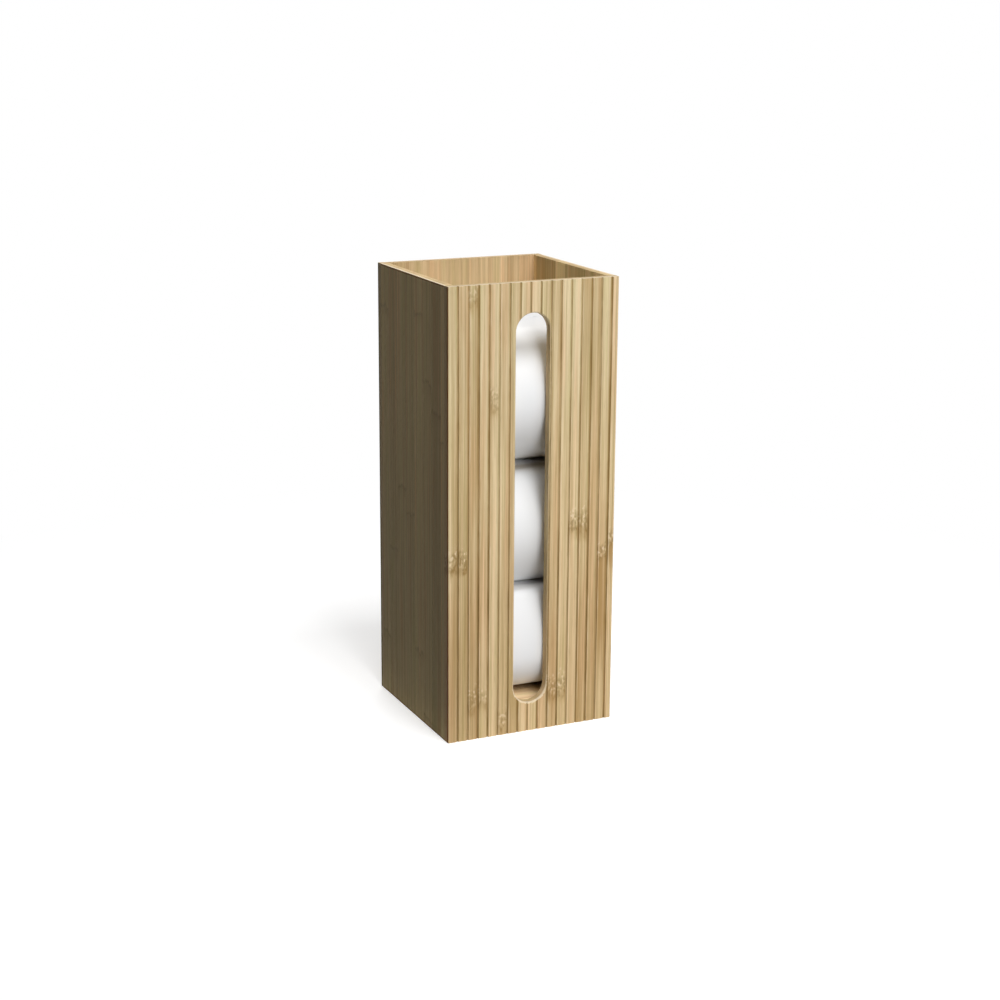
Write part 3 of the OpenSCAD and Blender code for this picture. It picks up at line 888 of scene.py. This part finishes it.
bump = add(tree, "ShaderNodeBump", {"Height": sheet_edges, "Strength": END_BUMP, "Distance": END_RELIEF})
tree.links.new(bump.outputs["Normal"], tree.nodes["Principled BSDF"].inputs["Normal"])
for paper in (tissue, tissue_ends):
    paper.node_tree.nodes["Principled BSDF"].inputs["Roughness"].default_value = PAPER_ROUGHNESS
    paper.node_tree.nodes["Principled BSDF"].inputs["Specular IOR Level"].default_value = PAPER_GLOSS

# The top roll lies free, so its depth is the free diameter of all three.
CORE_GAP = 0.00005
top_low, top_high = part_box("top_roll")
core_low, core_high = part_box("top_core")
free_d = top_high.y - top_low.y
wound_r = (core_high.z - core_low.z) / 2 + CORE_GAP
for level in LEVELS:
    roll = wind_roll(level, free_d, wound_r)
    roll.data.materials.append(tissue)
    roll.data.materials.append(tissue_ends)
    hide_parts(level + "_roll")
    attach(roll, "roll_" + level)


# Floor: a plain pale sheet that keeps the holder's soft shadow, and is white to the camera
# further out, so that it has no edge. It lights the front and the rolls from below, but not
# the left wall, as with a dark card laid on that side.
FLOOR_R = 4.0
FLOOR_PALE = (0.9, 0.9, 0.9, 1)
CARD_DARK = (0.028, 0.023, 0.010, 1)
FLOOR_BOUNCE = (0.75, 0.75, 0.75, 1)
CARD_EDGE_X = -0.04
CARD_FADE = 0.09
FLOOR_LIFT = 0.42
SHADOW_R = 0.25
WHITE_R = 0.75
FLOOR_SIDES = 96


def seen_by_camera(tree):
    """1 for what the camera sees, also in a reflection or through glass, and 0 for light."""
    seen = add(tree, "ShaderNodeLightPath").outputs
    seen_any = calc(tree, "MAXIMUM", seen["Is Camera Ray"], seen["Is Glossy Ray"])
    return calc(tree, "MAXIMUM", seen_any, seen["Is Transmission Ray"])


floor_mesh = bpy.data.meshes.new("floor")
floor_points = []
for i in range(FLOOR_SIDES):
    angle = 2 * math.pi * i / FLOOR_SIDES
    floor_points.append((FLOOR_R * math.cos(angle), FLOOR_R * math.sin(angle), 0.0))
floor_mesh.from_pydata(floor_points, [], [tuple(range(FLOOR_SIDES))])
floor = bpy.data.objects.new("floor", floor_mesh)
bpy.context.scene.collection.objects.link(floor)
floor_paint, tree = new_material("floor paint")
tree.nodes.remove(tree.nodes["Principled BSDF"])
seen_any = seen_by_camera(tree)
point = add(tree, "ShaderNodeTexCoord").outputs["Object"]
from_middle = add(tree, "ShaderNodeVectorMath", {0: point}, operation="LENGTH").outputs["Value"]
far_out = span(tree, from_middle, SHADOW_R, WHITE_R)
floor_x = add(tree, "ShaderNodeSeparateXYZ", {0: point}).outputs[0]
beside_card = span(tree, floor_x, CARD_EDGE_X - CARD_FADE, CARD_EDGE_X)
floor_colour = tint(tree, seen_any, tint(tree, beside_card, CARD_DARK, FLOOR_BOUNCE), FLOOR_PALE)
matt = add(tree, "ShaderNodeBsdfDiffuse", {"Color": floor_colour})
lift = add(tree, "ShaderNodeEmission", {"Strength": calc(tree, "MULTIPLY", seen_any, FLOOR_LIFT)})
white = add(tree, "ShaderNodeEmission", {"Strength": 1.0})
near_floor = add(tree, "ShaderNodeAddShader", {0: matt.outputs[0], 1: lift.outputs[0]})
show_white = calc(tree, "MULTIPLY", far_out, seen_any)
floor_mix = add(tree, "ShaderNodeMixShader", {0: show_white, 1: near_floor.outputs[0], 2: white.outputs[0]})
tree.links.new(floor_mix.outputs[0], tree.nodes["Material Output"].inputs["Surface"])
floor_mesh.materials.append(floor_paint)


# World: white to the camera and in reflections, and a dim even fill on the holder, so that
# no side of it is black.
FILL = 0.033
world = bpy.data.worlds.new("studio")
bpy.context.scene.world = world
world.use_nodes = True
tree = world.node_tree
strength = calc(tree, "MAXIMUM", seen_by_camera(tree), FILL)
tree.links.new(strength, tree.nodes["Background"].inputs["Strength"])
tree.nodes["Background"].inputs["Color"].default_value = (1, 1, 1, 1)


# Light: a softbox in front of the holder, a wide one above it and a dimmer one behind it, as
# name, azimuth from the front, elevation, distance, width, height and watts.
SOFTBOXES = (
    ("front_softbox", 0, 20, 2.6, 1.1, 0.7, 28.7),
    ("upper_softbox", 5, 62, 2.6, 1.6, 0.8, 40),
    ("back_softbox", 170, 58, 2.6, 1.2, 1.2, 26),
)
AIM = Vector((0, 0, 0.2))


def direction(azimuth, elevation):
    """The way from the holder to a place seen at that azimuth, from the front, and elevation."""
    turn, rise = math.radians(azimuth), math.radians(elevation)
    level = math.cos(rise)
    return Vector((math.sin(turn) * level, -math.cos(turn) * level, math.sin(rise)))


for name, azimuth, elevation, away, width, height, watts in SOFTBOXES:
    softbox = bpy.data.lights.new(name, "AREA")
    softbox.shape = "RECTANGLE"
    softbox.size = width
    softbox.size_y = height
    softbox.energy = watts
    stand = bpy.data.objects.new(name, softbox)
    way = direction(azimuth, elevation)
    stand.location = AIM + way * away
    stand.rotation_euler = way.to_track_quat("Z", "Y").to_euler()
    bpy.context.scene.collection.objects.link(stand)


# Camera: at the photograph's place and height, fitted to the seven corners of the box that
# the photograph shows.
CAMERA_AZIMUTH = -24.408
CAMERA_ELEVATION = 14.139
CAMERA_ROLL = 0.266
CAMERA_AWAY = 1.6419
CAMERA_AIM = Vector((-0.00888, 0.0, 0.2049))
CAMERA_LENS = 69.6
CAMERA_SHIFT = (0.015, -0.025)
camera_back = direction(CAMERA_AZIMUTH, CAMERA_ELEVATION)
level_right = Vector((0, 0, 1)).cross(camera_back).normalized()
level_up = camera_back.cross(level_right)
roll_angle = math.radians(CAMERA_ROLL)
camera_right = level_right * math.cos(roll_angle) + level_up * math.sin(roll_angle)
camera_up = camera_back.cross(camera_right)
camera = bpy.data.cameras.new("camera")
camera.lens = CAMERA_LENS
camera.sensor_width = 36.0
camera.shift_x, camera.shift_y = CAMERA_SHIFT
camera_stand = bpy.data.objects.new("camera", camera)
turn = Matrix((camera_right, camera_up, camera_back)).transposed().to_4x4()
camera_stand.matrix_world = Matrix.Translation(CAMERA_AIM + camera_back * CAMERA_AWAY) @ turn
bpy.context.scene.collection.objects.link(camera_stand)
bpy.context.scene.camera = camera_stand
bpy.context.scene.view_settings.view_transform = "Standard"
